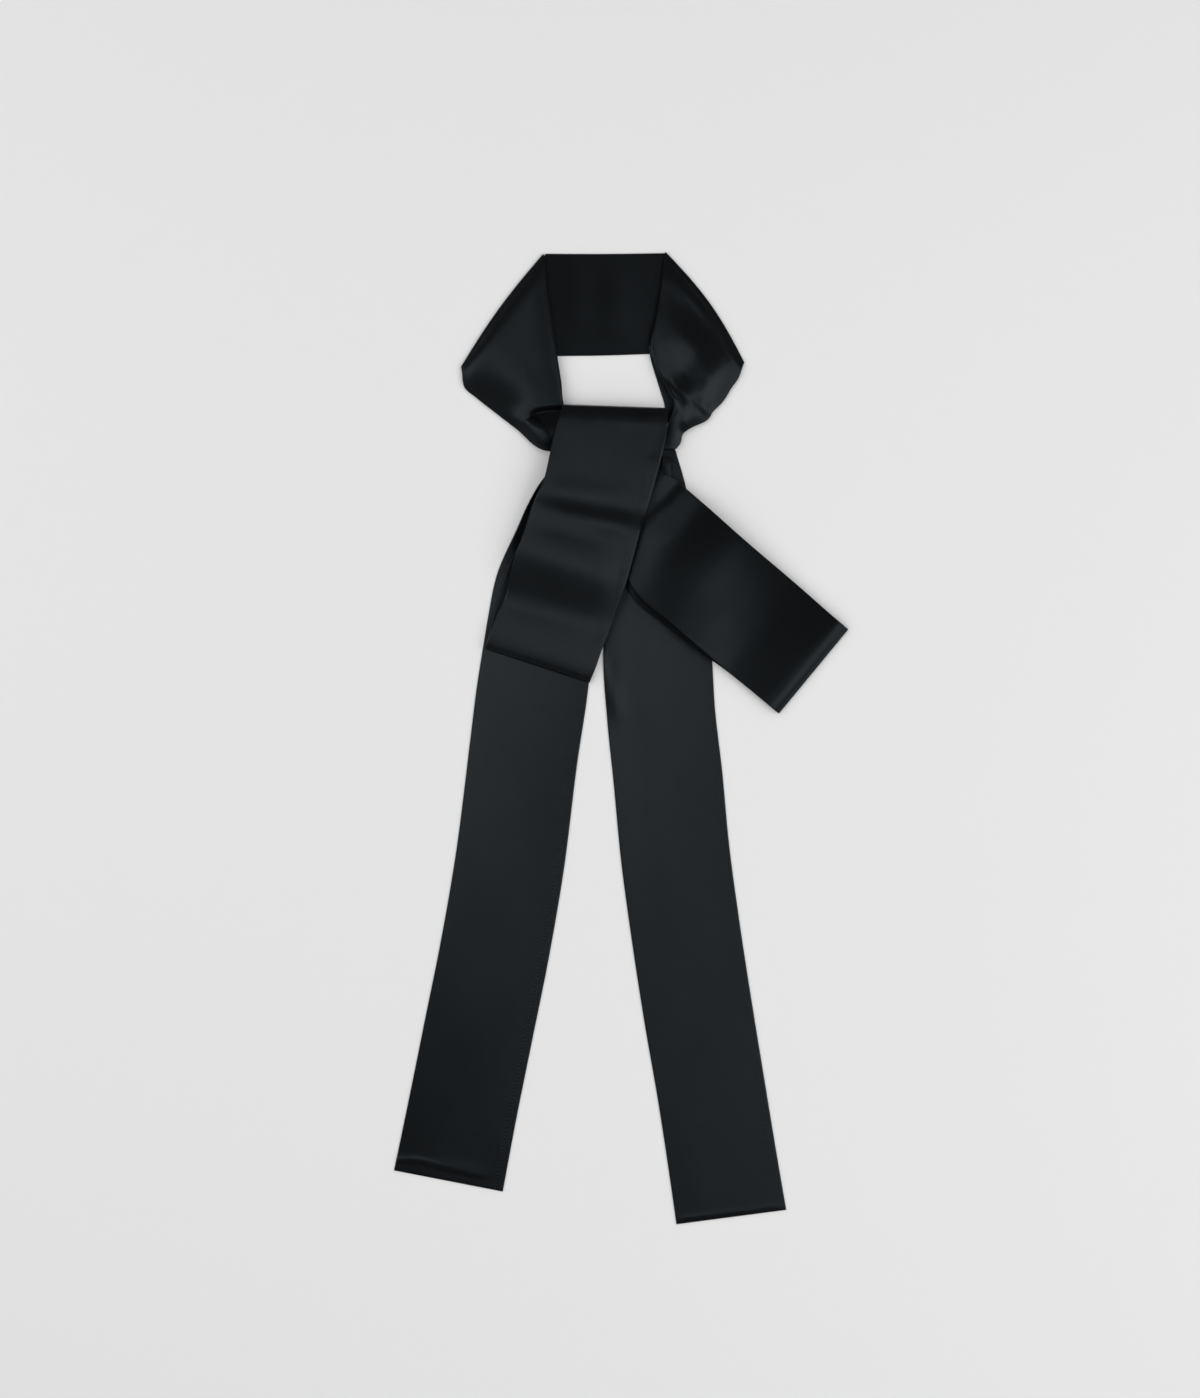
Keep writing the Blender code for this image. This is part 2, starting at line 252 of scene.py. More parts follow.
def ahead(points, before):
    # level unit directions in which a stretch runs on
    away = points - before
    away[:, 2] = 0
    return away / np.linalg.norm(away, axis=1, keepdims=True)


def turnRows(start, end, away, reach, angles):
    # rows round a fold, from one row to the row above or below it
    rows = [
        start + away * reach * np.sin(angle) + (end - start) * (1 - np.cos(angle)) / 2
        for angle in np.radians(angles)
    ]
    return np.array(rows)


def movedGrid(points):
    # a grid with each of its points moved to its place
    rows, columns = points.shape[:2]
    bm = bmesh.new()
    bm.loops.layers.uv.new("cloth")
    bmesh.ops.create_grid(
        bm, x_segments=columns - 1, y_segments=rows - 1, size=1, calc_uvs=True
    )
    bm.verts.index_update()
    for vert, point in zip(bm.verts, points.reshape(-1, 3)):
        vert.co = Vector(point)
    return bm


def treeOf(bm):
    places = np.array([vert.co for vert in bm.verts])
    return BVHTree.FromBMesh(bm), places.min(axis=0), places.max(axis=0)


def topTree(points):
    # the upper side of a middle surface, for what is laid on it
    bm = movedGrid(points + (0, 0, band["halfThickness"]))
    found = treeOf(bm)
    bm.free()
    return found


def sidesOf(points):
    # unit directions square to the middle surface, up on its first layer
    alongWay = np.gradient(points, axis=0)
    acrossWay = np.gradient(points, axis=1)
    square = np.cross(acrossWay, alongWay)
    square /= np.linalg.norm(square, axis=2, keepdims=True)
    firstRows = max(1, len(square) // 8)
    if square[:firstRows, :, 2].mean() < 0:
        square = -square
    return square


def thickness(acrossAt, count, sewnStart):
    # half the tube's thickness, rounded off at its two pressed edges
    width = acrossAt[-1]
    fromEdge = np.minimum(acrossAt, width - acrossAt) / band["edgeRound"]
    bulge = np.sqrt(np.clip(1 - (1 - np.clip(fromEdge, 0, 1)) ** 2, 0, 1))
    half = np.tile(bulge * band["halfThickness"], (count, 1))
    if sewnStart:
        half[0] *= band["sewnEnd"] / band["halfThickness"]
    return half


def clothPlaces(points, acrossAt, ring, warpWay, twists):
    # the cloth's own coordinates: across the tube, and along its warp
    if warpWay is None:
        steps = np.linalg.norm(np.diff(points, axis=0), axis=2)
        warp = np.concatenate([np.zeros((1, len(acrossAt))), np.cumsum(steps, axis=0)])
        warp = warp - warp[-1]
        warp = np.concatenate([warp, warp[:, -2::-1]], axis=1)
        weft = np.concatenate([acrossAt, 2 * acrossAt[-1] - acrossAt[-2::-1]])
        weft = np.tile(weft, (len(ring), 1))
    else:  # the threads run one way all over it
        turn = np.radians(warpWay)
        warp = ring[..., 0] * np.cos(turn) + ring[..., 1] * np.sin(turn)
        weft = ring[..., 1] * np.cos(turn) - ring[..., 0] * np.sin(turn)
    for x, y, reach, degrees, way in twists:  # here the threads are pulled aslant
        dx, dy = ring[..., 0] - x, ring[..., 1] - y
        if way is not None:
            turn = np.radians(way)
            dx, dy = dx * np.cos(turn) + dy * np.sin(turn), 0
        near = np.exp(-(dx**2 + dy**2) / reach**2)
        middle = (weft * near).sum() / near.sum()
        warp = warp + np.tan(np.radians(degrees)) * (weft - middle) * near
    return weft, warp


def addObject(bm, name, material):
    mesh = bpy.data.meshes.new(name)
    bm.to_mesh(mesh)
    bm.free()
    mesh.shade_smooth()
    mesh.materials.append(material)
    obj = bpy.data.objects.new(name, mesh)
    bpy.context.scene.collection.objects.link(obj)
    print("made", name, len(mesh.polygons), "faces")
    return obj


def makeStretch(
    name, points, acrossAt, material, laid, sewnStart=False, warpWay=None, twists=()
):
    # the tube of satin round a stretch's middle surface
    square = sidesOf(points)
    half = thickness(acrossAt, len(points), sewnStart)[:, :, None]
    upper, lower = points + square * half, points - square * half
    ring = np.concatenate([upper, lower[:, -2::-1]], axis=1)
    bm = movedGrid(ring)
    laid.append(treeOf(bm))
    weft, warp = clothPlaces(points, acrossAt, ring, warpWay, twists)
    uvLayer = bm.loops.layers.uv["cloth"]
    columns = ring.shape[1]
    bm.verts.index_update()
    for face in bm.faces:
        for loop in face.loops:
            row, column = divmod(loop.vert.index, columns)
            loop[uvLayer].uv = (weft[row, column] * mm, warp[row, column] * mm)
    bmesh.ops.scale(bm, vec=(mm, mm, mm), verts=bm.verts)
    bmesh.ops.remove_doubles(bm, verts=bm.verts, dist=band["sameSpot"] * mm)
    bmesh.ops.recalc_face_normals(bm, faces=bm.faces)
    highest = max(bm.faces, key=lambda face: face.calc_center_median().z)
    if highest.normal.z < 0:
        bmesh.ops.reverse_faces(bm, faces=bm.faces)
    obj = addObject(bm, name, material)
    wall = obj.modifiers.new("cloth wall", "SOLIDIFY")
    wall.thickness = band["clothWall"] * mm
    wall.offset = -1
    return obj


satin = {
    "colour": (0.0036, 0.0041, 0.0048),
    "colourSway": 0.18,
    "roughness": 0.40,
    "roughnessSway": 0.05,
    "anisotropic": 0.93,
    "sheenTint": (0.75, 0.895, 1.0),
    "streakWidth": 0.4,  # millimetres
    "streakLength": 26.0,
    "streakHeight": 0.012,
    "cloudWidth": 38.0,
    "cloudLength": 60.0,
    "threadPitch": 0.22,
    "threadGap": 0.16,  # share of the pitch
    "threadStagger": 0.4,  # share of the float
    "floatLength": 1.3,
    "threadHeight": 0.008,
    "seamAt": 66.0,  # from the first edge
    "stitchWidth": 1.1,
    "stitchLength": 2.4,
    "stitchHeight": 0.05,
}


def addNode(tree, kind, values=None, **settings):
    node = tree.nodes.new(kind)
    for key, value in settings.items():
        setattr(node, key, value)
    for key, value in (values or {}).items():
        if isinstance(value, bpy.types.NodeSocket):
            tree.links.new(value, node.inputs[key])
        else:
            node.inputs[key].default_value = value
    return node


def calculate(tree, operation, first, second=0.0):
    values = {0: first, 1: second}
    return addNode(tree, "ShaderNodeMath", values, operation=operation).outputs[0]


def scaledCloth(tree, cloth, across, along, turn=0.0):
    values = {
        "Vector": cloth,
        "Rotation": (0, 0, turn),
        "Scale": (1 / (across * mm), 1 / (along * mm), 1),
    }
    return addNode(tree, "ShaderNodeMapping", values).outputs[0]


def clothNoise(tree, place, detail, roughness=0.5):
    values = {"Vector": place, "Scale": 1.0, "Detail": detail, "Roughness": roughness}
    return addNode(tree, "ShaderNodeTexNoise", values).outputs["Fac"]


def swayRound(tree, factor, middle, sway):
    # a value that sways round its middle, as the factor does round one
    values = {
        "Value": factor,
        "From Min": 0.6,
        "From Max": 1.4,
        "To Min": middle - sway,
        "To Max": middle + sway,
    }
    return addNode(tree, "ShaderNodeMapRange", values).outputs[0]


def relief(tree, height, depth, below=None, sunk=False):
    # a fine relief, depth in millimetres, over the one below it
    values = {"Height": height, "Strength": 1.0, "Distance": depth * mm}
    if below is not None:
        values["Normal"] = below
    return addNode(tree, "ShaderNodeBump", values, invert=sunk).outputs[0]


def floatsOf(tree, cloth):
    # the warp floats of satin, row beside row, with their gaps
    pitch = satin["threadPitch"]
    values = {
        "Vector": scaledCloth(tree, cloth, pitch, pitch, turn=np.pi / 2),
        "Scale": 1.0,
        "Mortar Size": satin["threadGap"],
        "Mortar Smooth": 1.0,
        "Brick Width": satin["floatLength"] / pitch,
        "Row Height": 1.0,
    }
    stagger = satin["threadStagger"]
    node = addNode(tree, "ShaderNodeTexBrick", values, offset=stagger, offset_frequency=2)
    return node.outputs["Fac"]


def stitchesOf(tree, cloth):
    # a row of stitches along the seam
    place = addNode(tree, "ShaderNodeSeparateXYZ", {0: cloth})
    off = calculate(tree, "SUBTRACT", place.outputs[0], satin["seamAt"] * mm)
    off = calculate(tree, "ABSOLUTE", off)
    values = {
        "Value": off,
        "From Min": 0.0,
        "From Max": satin["stitchWidth"] * mm,
        "To Min": 1.0,
        "To Max": 0.0,
    }
    row = addNode(tree, "ShaderNodeMapRange", values, interpolation_type="SMOOTHSTEP")
    turnsPerMetre = 2 * np.pi / (satin["stitchLength"] * mm)
    turns = calculate(tree, "MULTIPLY", place.outputs[1], turnsPerMetre)
    wave = calculate(tree, "SINE", turns)
    return calculate(tree, "MULTIPLY", wave, row.outputs[0])


def blackSatin(name, hasSeam=False):
    material = bpy.data.materials.new(name)
    material.use_nodes = True
    tree = material.node_tree
    shader = tree.nodes["Principled BSDF"]
    cloth = addNode(tree, "ShaderNodeUVMap", uv_map="cloth").outputs[0]
    streakPlace = scaledCloth(tree, cloth, satin["streakWidth"], satin["streakLength"])
    streaks = clothNoise(tree, streakPlace, 3.0, roughness=0.6)
    cloudPlace = scaledCloth(tree, cloth, satin["cloudWidth"], satin["cloudLength"])
    clouds = clothNoise(tree, cloudPlace, 2.0)
    mixed = calculate(tree, "ADD", streaks, clouds)
    tint = swayRound(tree, mixed, 1.0, satin["colourSway"])
    rough = swayRound(tree, mixed, satin["roughness"], satin["roughnessSway"])
    values = {"Vector": satin["colour"], "Scale": tint}
    colour = addNode(tree, "ShaderNodeVectorMath", values, operation="SCALE").outputs[0]
    bump = relief(tree, streaks, satin["streakHeight"])
    bump = relief(tree, floatsOf(tree, cloth), satin["threadHeight"], bump, sunk=True)
    if hasSeam:
        bump = relief(tree, stitchesOf(tree, cloth), satin["stitchHeight"], bump)
    tree.links.new(colour, shader.inputs["Base Color"])
    tree.links.new(rough, shader.inputs["Roughness"])
    tree.links.new(bump, shader.inputs["Normal"])
    shader.inputs["Anisotropic"].default_value = satin["anisotropic"]
    shader.inputs["Specular Tint"].default_value = (*satin["sheenTint"], 1)
    across = addNode(tree, "ShaderNodeTangent", direction_type="UV_MAP", uv_map="cloth")
    tree.links.new(across.outputs[0], shader.inputs["Tangent"])
    print("made material", name)
    return material


def setCamera():
    lens = bpy.data.cameras.new("camera")
    lens.lens, lens.sensor_width = camera["lens"], camera["sensor"]
    lens.clip_end = camera["farthest"]
    eye = bpy.data.objects.new("camera", lens)
    eye.location = Vector((camera["x"], camera["y"], camera["height"])) * mm
    bpy.context.scene.collection.objects.link(eye)
    bpy.context.scene.camera = eye
    print("set the camera")


def addSoftbox(name, box, glossy=True):
    light = bpy.data.lights.new(name, "AREA")
    light.shape = "RECTANGLE"
    place, (light.size, light.size_y), light.energy = box
    lamp = bpy.data.objects.new(name, light)
    lamp.location = place
    lamp.rotation_euler = (-Vector(place)).to_track_quat("-Z", "Y").to_euler()
    lamp.visible_glossy = glossy
    bpy.context.scene.collection.objects.link(lamp)


def makeFloor():
    bm = bmesh.new()
    bmesh.ops.create_grid(bm, x_segments=1, y_segments=1, size=studio["floorReach"])
    mesh = bpy.data.meshes.new("floor")
    bm.to_mesh(mesh)
    bm.free()
    floor = bpy.data.objects.new("floor", mesh)
    bpy.context.scene.collection.objects.link(floor)
    paper = bpy.data.materials.new("pale paper")
    paper.use_nodes = True
    shader = paper.node_tree.nodes["Principled BSDF"]
    shader.inputs["Base Color"].default_value = (*[studio["floorColour"]] * 3, 1)
    shader.inputs["Roughness"].default_value = studio["floorRoughness"]
    shader.inputs["Specular IOR Level"].default_value = 0.0
    mesh.materials.append(paper)


def setStudio():
    scene = bpy.context.scene
    scene.view_settings.view_transform = "Standard"
    scene.world = bpy.data.worlds.new("studio")
    scene.world.use_nodes = True
    ground = scene.world.node_tree.nodes["Background"]
    ground.inputs[0].default_value = (1, 1, 1, 1)
    ground.inputs[1].default_value = studio["ambient"]
    for name, box in studio["boxes"].items():
        addSoftbox(name, box)
    addSoftbox("top fill", studio["topFill"], glossy=False)
    makeFloor()
    print("set the floor and the lights")


# The stretches, seen from above.
# step, stepAcross: distance between points along and across; fine: lengths at the
# start and the end with closer points.
# rows: where the first edge is, the width, the way to the other edge in degrees, how
# far the row bows, and its lift at places across.
# profile: distance along, then the heights from the first edge to the other.
# creases: a line on the cloth, its height, its widths on the left and on the right,
# and the shares of its length over which it fades in and out.
# rolls: distance from the first edge, where along it starts and ends, width, height.
# twists: x, y, reach, degrees, and the way along which it fades, or none for all ways.
flatLift = (0, 0, 0)

leftTail = {
    "step": 3.0, "stepAcross": 3.0, "fine": (16, 0), "nearSeam": (4.2, 4.7, 5.2, 5.7),
    "rows": [
        (-147.5, -280.0, 72, -11, 0, flatLift),
        (-138.0, -234.5, 71, -11, 0, flatLift),
        (-127.5, -182.5, 71, -10.5, 0, flatLift),
        (-117.0, -130.5, 71, -10.5, 0, flatLift),
        (-108.0, -78.5, 71, -9.5, 0, flatLift),
        (-98.0, -0.5, 71, -7.5, 0, flatLift),
        (-94.0, 32.0, 72, -6, 0, flatLift),
        (-89.5, 61.0, 71, -5, 0, flatLift),
        (-86.5, 79.0, 70.5, -4, 0, flatLift),
        (-80.5, 107.5, 66.5, -3.5, 0, flatLift),
        (-68.0, 136.0, 57, -2, 0, flatLift),
        (-60.0, 153.5, 50, -1, 0, flatLift),
        (-50.5, 169.5, 42, 0, 0, flatLift),
        (-38.0, 184.0, 31, 0, 0, flatLift),
    ],
    "creases": [
        (
            [(-147, -273.3), (-130.6, -273.3), (-122.8, -275.3), (-112, -279.5)],
            0.36, 1.8, 1.4, 0.02, 0.35,
        ),
        ([(-122, -275.6), (-112, -278.6), (-84, -285.2)], 0.36, 6.0, 1.1, 0.15, 0.25),
        ([(-53, 172), (-63, 150), (-71, 128), (-79, 100)], 3.6, 3.4, 5.0, 0.02, 1.0),
    ],
    "rolls": [(satin["seamAt"], 8, 380, 0.5, -0.2)],
    "twists": [
        (-62, 148, 12, -20, None),
        (-70, 126, 11, -20, None),
        (-70, 0, 150, -7, 90),
    ],
}
rightTail = {
    "step": 3.0, "stepAcross": 3.0, "fine": (16, 0), "nearSeam": (4.2, 4.7, 5.2, 5.7),
    "rows": [
        (36.0, -315.0, 72, 7.5, 0, flatLift),
        (31.0, -280.0, 71, 7.5, 0, flatLift),
        (24.0, -234.5, 70.5, 8, 0, flatLift),
        (15.0, -182.5, 71, 9, 0, flatLift),
        (7.0, -130.5, 71, 8.5, 0, flatLift),
        (0.0, -78.5, 71, 8, 0, flatLift),
        (-5.0, -26.5, 71, 6.5, 0, flatLift),
        (-9.0, 12.5, 70.5, 4, 0, flatLift),
        (-11.5, 58.0, 70, 1.5, 0, flatLift),
        (-9.0, 87.5, 64, 0, 0, flatLift),
        (-6.0, 116.5, 57, 0, 0, flatLift),
        (-3.0, 141.5, 49, 1.5, 0, flatLift),
        (-0.5, 162.0, 43, 1, 0, flatLift),
        (4.5, 190.0, 30, 2, 0, flatLift),
    ],
    "creases": [
        ([(36, -311.5), (106, -302.5)], 0.35, 1.2, 1.2, 0.05, 0.05),
        ([(4.6, 105), (33.2, 78.3), (61.8, 54.9)], 2.2, 8.0, 3.4, 0.2, 0.05),
        ([(-8.4, 74), (-7.2, 52), (-4.6, 28), (-2, 4)], 2.4, 4.6, 3.4, 0.6, 0.4),
    ],
    "rolls": [(satin["seamAt"], 8, 380, 0.5, -0.2)],
    "twists": [(0, 40, 170, 7, 90)],
}
neckBack = {
    "step": 2.4, "stepAcross": 2.6, "width": 74.0,
    "rows": [
        (-49.0, 315.6, 82, -126, 2.5, flatLift),
        (-10.0, 315.5, 66, -90, 0, flatLift),
        (28.8, 316.0, 78.5, -53, -3, flatLift),
    ],
    "creases": [
        ([(-30, 314), (-26, 252)], 0.35, 10.0, 8.0, 0.1, 0.4),
        ([(-2, 312), (-6, 256)], 0.5, 12.0, 9.0, 0.4, 0.2),
    ],
}
neckTuck = {
    "step": 1.5, "stepAcross": 1.2, "width": 14.0,
    "rows": [
        (17.5, 257.0, 15, -13, 0, flatLift),
        (19.3, 247.0, 15, -23, 0, flatLift),
        (22.0, 237.5, 15, -30, 0, flatLift),
        (25.5, 226.5, 14, -27, 0, flatLift),
        (28.5, 215.5, 9, -27, 0, flatLift),
        (28.0, 207.0, 9, -20, 0, flatLift),
    ],
}
neckLeft = {
    "warpWay": -81.5,
    "step": 1.8, "stepAcross": 1.8, "width": 80.0, "fine": (12, 48),
    "rows": [
        (-50.0, 313.0, 91, -126, -2.2, flatLift),
        (-48.0, 295.5, 85.5, -129, -1, flatLift),
        (-45.0, 274.0, 71.5, -133, 0, flatLift),
        (-42.0, 253.0, 57, -135, 0, flatLift),
        (-39.0, 233.5, 43, -132, 0, flatLift),
        (-36.0, 215.5, 31, -117, 0, flatLift),
        (-29.0, 211.0, 25, -107, 0, flatLift),
        (-15.0, 208.5, 20, -100, 0, flatLift),
    ],
    "profile": [
        (0, (1.8, 1.8, 1.8, 1.8, 1.8, 1.8, 1.8, 1.8, 1.8)),
        (2, (2.3, 2.9, 2.9, 2.9, 2.9, 2.9, 2.9, 2.6, 1.9)),
        (5, (2.8, 4.2, 4.2, 4.2, 4.2, 4.2, 4.0, 3.3, 1.9)),
        (9, (3.1, 5.0, 5.1, 5.1, 5.1, 5.1, 4.7, 3.6, 1.6)),
        (13, (3.3, 5.3, 5.5, 5.5, 5.5, 5.4, 4.9, 3.7, 1.3)),
        (20, (3.3, 5.3, 5.8, 5.8, 5.9, 5.7, 5.0, 3.7, 1.2)),
        (29.5, (3.5, 5.3, 6.0, 6.1, 6.2, 5.9, 5.0, 3.6, 1.2)),
        (38, (3.9, 5.2, 6.0, 6.2, 6.3, 6.0, 4.8, 3.4, 1.4)),
        (46, (4.3, 5.3, 6.0, 6.3, 6.5, 5.9, 4.5, 3.0, 1.3)),
        (55, (4.7, 5.6, 6.2, 6.6, 6.7, 6.0, 4.8, 3.4, 1.4)),
        (64, (5.2, 5.8, 6.4, 6.8, 6.9, 6.8, 6.4, 5.2, 1.9)),
        (73, (5.7, 6.2, 6.5, 6.8, 7.0, 7.1, 6.9, 6.0, 2.4)),
        (82.7, (5.4, 5.8, 6.2, 6.4, 6.5, 6.5, 6.4, 5.7, 2.9)),
        (93.4, (3.4, 3.3, 3.3, 3.2, 2.9, 2.7, 2.5, 2.3, 2.0)),
        (110, (1.7, 1.7, 1.7, 1.7, 1.7, 1.7, 1.7, 1.7, 1.7)),
    ],
    "creases": [
        ([(-61, 207), (-57, 212.2), (-49, 214.4), (-37, 215)], -5.6, 0.6, 11, 0.22, 0),
    ],
    "twists": [
        (-92, 230, 17, 11, None),
        (-76, 219, 15, 9, None),
        (-56, 203, 10, -10, None),
    ],
    "rolls": [(2.2, 0, 86, 1.8, 0.45)],
}
neckRight = {
    "warpWay": -98.0,
    "step": 1.8, "stepAcross": 1.5, "width": 78.0, "fine": (12, 62),
    "rows": [
        (28.4, 314.3, 88, -54.8, 4, flatLift),
        (26.5, 295.5, 78.5, -50.5, 2, flatLift),
        (23.0, 274.0, 67, -43.5, 0, flatLift),
        (19.5, 253.0, 57.5, -36.5, 0, flatLift),
        (24.0, 238.5, 44, -35.5, 0, flatLift),
        (31.5, 225.5, 30, -39, 0, flatLift),
        (35.0, 217.5, 18.5, -53.5, 0, flatLift),
        (32.5, 209.0, 13, -52, 0, flatLift),
        (27.6, 197.5, 12, -25, 0, flatLift),
        (24.5, 188.0, 11.5, 4, 0, flatLift),
    ],
    "profile": [
        (0, (1.8, 1.8, 1.8, 1.8, 1.8, 1.8, 1.8, 1.8, 1.8)),
        (3, (2.5, 3.2, 3.5, 3.5, 3.4, 3.0, 2.8, 2.6, 2.1)),
        (6, (2.9, 3.9, 4.0, 4.0, 3.8, 3.3, 3.1, 3.2, 2.1)),
        (10, (3.5, 4.1, 4.1, 4.0, 4.0, 3.7, 3.4, 3.3, 2.0)),
        (14, (3.6, 4.1, 4.2, 4.3, 4.4, 4.4, 3.9, 3.3, 1.9)),
        (20, (3.7, 4.4, 4.9, 5.3, 5.5, 5.6, 4.7, 3.2, 1.8)),
        (26, (4.0, 4.7, 5.5, 6.1, 6.3, 6.7, 5.7, 3.1, 1.7)),
        (32, (4.1, 4.7, 5.4, 5.8, 6.1, 7.2, 6.5, 3.1, 1.7)),
        (38, (4.0, 4.5, 4.9, 5.2, 5.8, 7.3, 6.9, 3.2, 1.6)),
        (44.3, (3.9, 4.2, 4.5, 4.7, 5.8, 7.4, 7.3, 3.5, 1.7)),
        (50, (3.8, 4.1, 4.3, 4.9, 6.6, 7.6, 7.3, 4.0, 1.9)),
        (56, (3.9, 4.1, 4.6, 6.1, 7.4, 7.4, 6.4, 4.8, 2.0)),
        (62, (4.5, 5.1, 6.3, 7.4, 7.4, 6.3, 5.2, 3.8, 2.0)),
        (67, (5.4, 6.2, 7.1, 7.8, 7.3, 6.3, 5.2, 3.9, 2.7)),
        (72, (5.9, 6.5, 7.1, 7.3, 7.2, 6.6, 5.5, 4.3, 3.2)),
        (78, (5.3, 5.8, 6.2, 6.4, 6.4, 5.9, 5.0, 4.0, 3.3)),
        (86, (3.9, 4.3, 4.9, 5.3, 5.5, 5.3, 4.6, 3.8, 3.0)),
        (93.9, (3.7, 4.0, 4.2, 4.4, 4.5, 4.5, 4.2, 3.8, 3.4)),
    ],
    "rolls": [(1.6, 40, 84, 1.6, 0.25), (2.2, 0, 50, 1.8, 0.35)],
}
knotStrand = {
    "step": 0.9, "stepAcross": 0.8, "width": 8.0,
    "rows": [
        (27.0, 184.0, 6.5, -8, 0, flatLift),
        (26.5, 179.0, 6.5, -8, 0, (0.4, 1.0, 0.6)),
        (25.0, 173.0, 8, -20, 0, (0.2, 0.6, 0.4)),
        (21.5, 166.5, 9.5, -25, 0, flatLift),
    ],
}
knot = {
    "centre": (-3.0, 196.0), "halfSize": (31.6, 16.5), "height": 5.2, "fullness": 2.6,
    "rings": 40, "segments": 96,
}
sideLow = {
    "step": 2.8, "stepAcross": 2.4, "fine": (0, 10),
    "rows": [
        (19.5, 182.0, 17, -133.5, 0, flatLift),
        (25.0, 171.5, 26, -131, 0, flatLift),
        (35.5, 168.0, 56, -130.5, 0, flatLift),
        (51.5, 154.5, 73.6, -129.5, 0, flatLift),
        (77.5, 131.5, 75.2, -127.5, 0, flatLift),
        (117.0, 98.0, 72, -128.5, 0, flatLift),
        (146.5, 72.5, 71, -129.5, 0, flatLift),
    ],
}
sideTop = {
    "step": 2.6, "stepAcross": 2.4, "fine": (14, 0),
    "rows": [
        (146.5, 72.5, 71, -129.5, 0, flatLift),
        (137.5, 80.0, 71, -129, 0, flatLift),
        (117.0, 98.0, 72, -128.5, 0, flatLift),
        (77.5, 131.5, 72, -127.5, 0, flatLift),
        (51.5, 154.5, 70.5, -129.5, 0, flatLift),
        (35.5, 168.0, 55, -130.5, 0, flatLift),
        (25.5, 173.5, 28, -131, 0, flatLift),
        (20.0, 182.0, 17, -133.5, 0, flatLift),
    ],
    "profile": [
        (0, (2.6, 2.6, 2.6, 2.6, 2.6)),
        (2, (3.7, 3.7, 3.7, 3.7, 3.7)),
        (4, (4.45, 4.45, 4.4, 4.4, 4.4)),
        (6, (4.95, 4.9, 4.8, 4.8, 4.8)),
        (8, (5.15, 5.1, 5.0, 4.95, 4.95)),
        (10.5, (5.2, 5.2, 5.1, 5.05, 5.05)),
        (14, (5.2, 5.2, 5.1, 5.0, 5.0)),
        (30, (5.1, 5.0, 4.7, 4.5, 4.4)),
        (42, (5.4, 5.2, 4.8, 4.7, 4.9)),
        (56, (6.5, 6.3, 6.1, 6.4, 7.2)),
        (72, (8.0, 8.2, 8.3, 8.9, 9.2)),
        (90, (9.8, 10.2, 10.4, 10.2, 9.7)),
        (104, (10.9, 10.9, 10.8, 10.0, 8.7)),
        (112, (11.1, 11.0, 10.8, 9.4, 7.6)),
        (120, (11.0, 10.8, 10.5, 8.4, 6.4)),
        (128, (9.8, 9.7, 9.5, 7.0, 5.2)),
        (134, (8.2, 8.2, 8.0, 5.9, 4.6)),
        (140, (7.0, 6.9, 6.5, 5.0, 4.4)),
        (146, (7.2, 6.9, 5.9, 4.8, 4.4)),
        (151, (8.6, 8.0, 6.6, 5.1, 4.6)),
        (157, (10.5, 9.6, 7.5, 5.6, 5.0)),
        (163, (11.3, 10.3, 8.1, 6.2, 5.4)),
        (170, (11.4, 10.4, 8.3, 6.6, 5.8)),
        (177, (11.0, 10.2, 8.3, 6.8, 6.0)),
    ],
    "twists": [(84, 112, 24, 13, 142)],
}
frontLow = {
    "step": 2.6, "stepAcross": 2.2, "fine": (0, 10),
    "rows": [
        (-27.0, 179.0, 18, -4, 0, flatLift),
        (-38.0, 172.0, 25, -6, 0, flatLift),
        (-55.0, 144.0, 43, -8.5, 0, flatLift),
        (-71.5, 116.5, 62, -12, 0, flatLift),
        (-81.0, 87.5, 71, -13, 0, flatLift),
        (-88.0, 60.0, 71.5, -18, 0, flatLift),
    ],
}
